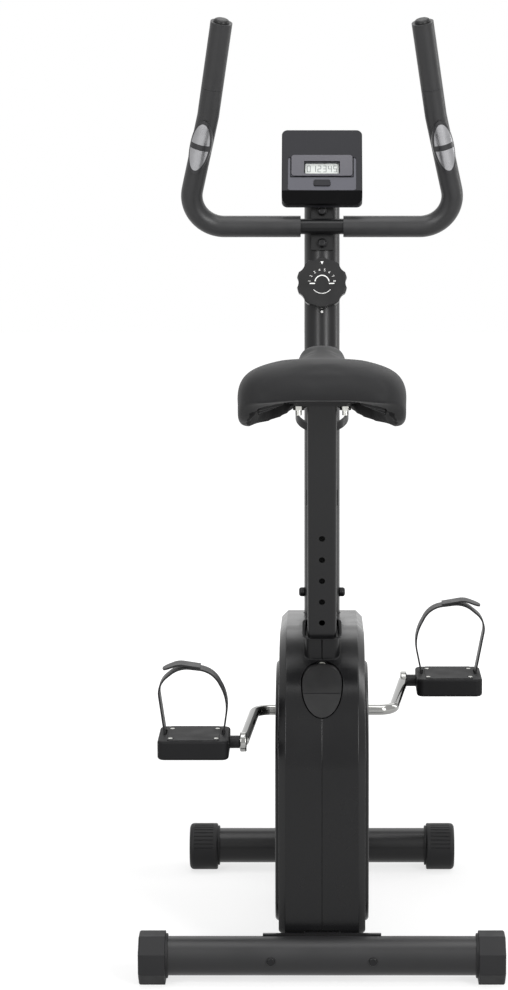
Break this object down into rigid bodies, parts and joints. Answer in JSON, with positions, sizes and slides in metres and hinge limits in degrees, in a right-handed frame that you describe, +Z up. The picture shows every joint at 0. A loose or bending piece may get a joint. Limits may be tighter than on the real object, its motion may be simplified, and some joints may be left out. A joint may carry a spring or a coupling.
{
  "type": "exercise bike",
  "caption": "Upright exercise bike with a padded saddle on a sliding post, a belt-driven flywheel in a slim shell, strapped pedals, a U-shaped handlebar and a small console.",
  "frame": {"origin": "on the floor, half way between the two stabilisers, in the middle of the width", "axes": "+X to the rider's right, +Y towards the handlebar, +Z up"},
  "size_m": [0.475, 0.5965, 1.2444],
  "materials": {
    "frame_paint": "satin black paint",
    "cap_plastic": "moulded black",
    "roller_plastic": "moulded black",
    "black_bolts": "blackened steel",
    "zinc_steel": "zinc plated",
    "shell_plastic": "fine-grained black",
    "bush_plastic": "moulded black",
    "knob_plastic": "moulded black",
    "pan_plastic": "moulded black",
    "saddle_vinyl": "soft black vinyl",
    "chrome": "polished",
    "pedal_plastic": "moulded black",
    "strap_rubber": "soft black",
    "flywheel_iron": "turned",
    "bracket_steel": "bare",
    "cable_sheath": "smooth",
    "foam": "closed-cell foam",
    "sensor_plastic": "moulded dark grey",
    "sensor_steel": "brushed",
    "console_plastic": "fine-grained black",
    "console_grey": "dark grey",
    "display": "pale display",
    "board": "lacquered"
  },
  "bodies": {
    "frame": {"bearings": "zinc_steel", "belt": "strap_rubber", "bottle_cage": "frame_paint", "console_back": "console_plastic", "console_board": "board", "console_face": "console_grey", "console_front": "console_plastic", "console_lcd": "display", "console_lens": "console_grey", "console_stay": "frame_paint", "dial_base": "knob_plastic", "end_plugs": "knob_plastic", "front_cap_left": "cap_plastic", "front_cap_right": "cap_plastic", "front_post": "frame_paint", "front_stabiliser": "frame_paint", "handlebar": "frame_paint", "lock_sleeve": "zinc_steel", "lower_grip_left": "foam", "lower_grip_right": "foam", "magnet_pin": "zinc_steel", "main_frame": "frame_paint", "pan_screws": "black_bolts", "post_bolts": "black_bolts", "rear_cap_left": "cap_plastic", "rear_cap_right": "cap_plastic", "rear_stabiliser": "frame_paint", "roller_pins": "zinc_steel", "seat_bush": "bush_plastic", "sensor_holders": "sensor_plastic", "sensor_plates": "sensor_steel", "shell_left": "shell_plastic", "shell_right": "shell_plastic", "side_cover_left": "shell_plastic", "side_cover_right": "shell_plastic", "stabiliser_bolts": "black_bolts", "tension_cable": "cable_sheath", "upper_grip_left": "foam", "upper_grip_right": "foam"},
    "seat": {"seat_post": "frame_paint", "saddle_pan": "pan_plastic", "saddle_pad": "saddle_vinyl", "saddle_hardware": "zinc_steel"},
    "lock_plunger": {"lock_pin": "zinc_steel", "lock_knob": "knob_plastic"},
    "crank_set": {"crank": "chrome", "drive_pulley": "bush_plastic", "pedal_spindles": "black_bolts"},
    "flywheel_set": {"flywheel": "flywheel_iron", "flywheel_shaft": "zinc_steel"},
    "left_pedal_set": {"left_pedal": "pedal_plastic", "left_pedal_strap": "strap_rubber"},
    "right_pedal_set": {"right_pedal": "pedal_plastic", "right_pedal_strap": "strap_rubber"},
    "left_roller": {"roller_left": "roller_plastic"},
    "right_roller": {"roller_right": "roller_plastic"},
    "resistance_dial": {"dial_knob": "knob_plastic"},
    "magnet_arm": {"magnet_bracket": "bracket_steel", "magnets": "bracket_steel"},
    "key": {"console_button": "console_plastic"}
  },
  "joints": [
    {"name": "crank_spin", "type": "hinge", "parent": "frame", "child": "crank_set", "pos_m": [0, 0.005, 0.3], "axis": [1, 0, 0], "continuous": true},
    {"name": "flywheel_spin", "type": "hinge", "parent": "frame", "child": "flywheel_set", "pos_m": [0, 0.125, 0.185], "axis": [1, 0, 0], "continuous": true},
    {"name": "left_pedal_spin", "type": "hinge", "parent": "crank_set", "child": "left_pedal_set", "pos_m": [-0.122, -0.16293, 0.29502], "axis": [1, 0, 0], "continuous": true},
    {"name": "right_pedal_spin", "type": "hinge", "parent": "crank_set", "child": "right_pedal_set", "pos_m": [0.135, 0.17293, 0.30498], "axis": [1, 0, 0], "continuous": true},
    {"name": "seat_height", "type": "slide", "parent": "frame", "child": "seat", "axis": [0, -0.225, 0.9744], "range_m": [-0.18, 0.03]},
    {"name": "lock_pull", "type": "slide", "parent": "frame", "child": "lock_plunger", "axis": [0, -0.9744, -0.225], "range_m": [-0.006, 0]},
    {"name": "resistance_turn", "type": "hinge", "parent": "frame", "child": "resistance_dial", "pos_m": [0, 0.173, 0.87455], "axis": [0, -0.9848, 0.1736], "range_deg": [0, 300]},
    {"name": "magnet_swing", "type": "hinge", "parent": "frame", "child": "magnet_arm", "pos_m": [0, 0.107, 0.304], "axis": [1, 0, 0], "range_deg": [0, 5]},
    {"name": "button_press", "type": "slide", "parent": "frame", "child": "key", "axis": [0, 0.866, -0.5], "range_m": [0, 0.0015], "stiffness_N_per_m": 600},
    {"name": "left_roller_spin", "type": "hinge", "parent": "frame", "child": "left_roller", "pos_m": [-0.18, 0.279, 0.02], "axis": [1, 0, 0], "continuous": true},
    {"name": "right_roller_spin", "type": "hinge", "parent": "frame", "child": "right_roller", "pos_m": [0.18, 0.279, 0.02], "axis": [1, 0, 0], "continuous": true}
  ],
  "couplings": [
    {"joint": "flywheel_spin", "follows": "crank_spin", "ratio": 6.1765},
    {"joint": "magnet_swing", "follows": "resistance_turn", "ratio": 0.01667}
  ]
}
